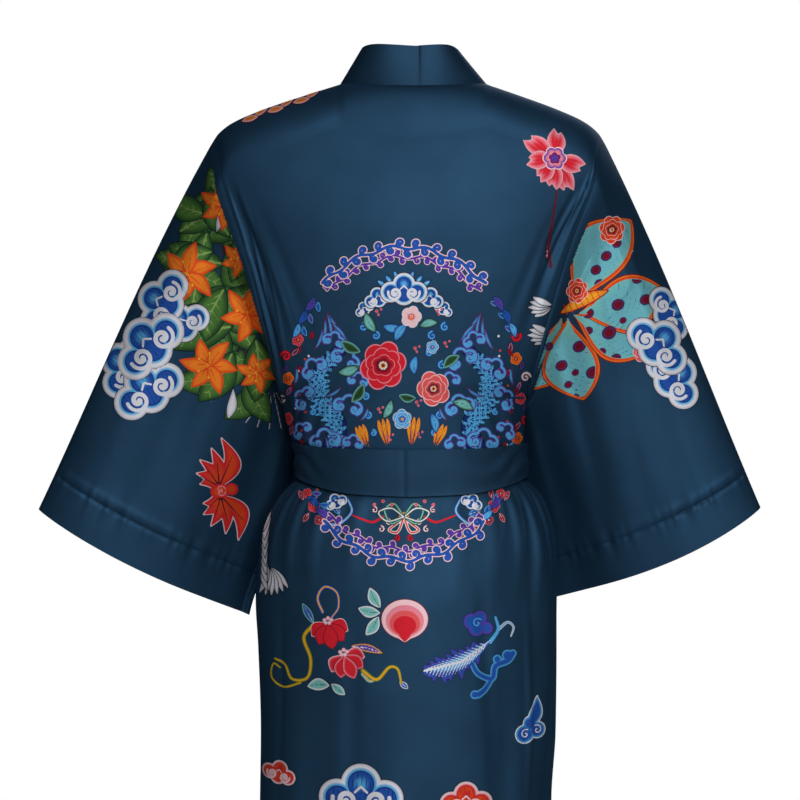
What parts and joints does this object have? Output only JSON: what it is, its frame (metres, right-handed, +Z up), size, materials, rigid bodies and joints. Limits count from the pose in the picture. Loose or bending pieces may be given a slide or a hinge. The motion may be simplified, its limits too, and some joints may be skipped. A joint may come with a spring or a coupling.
{
  "type": "kimono robe",
  "caption": "Belted wrap robe with wide open sleeves, a standing neckband running down the front edges and a tied belt, in its worn, hollow shape.",
  "frame": {"origin": "middle of the garment at the height of its nape seam, between the shoulders that carry it", "axes": "+Z up along the garment's length, the front faces -Y, the wearer's left is +X"},
  "size_m": [0.8334, 0.2555, 1.2631],
  "materials": {
    "cloth": "printed dark teal-navy satin, soft sheen",
    "band_cloth": "plain dark teal-navy satin, soft sheen"
  },
  "bodies": {
    "root": {"back": "cloth", "front_left": "cloth", "front_right": "cloth", "sleeve_left": "cloth", "sleeve_right": "cloth", "collar_left": "band_cloth", "collar_right": "band_cloth", "belt_left": "band_cloth", "belt_right": "band_cloth", "belt_knot": "band_cloth", "belt_end_left": "band_cloth", "belt_end_right": "band_cloth"}
  },
  "joints": []
}
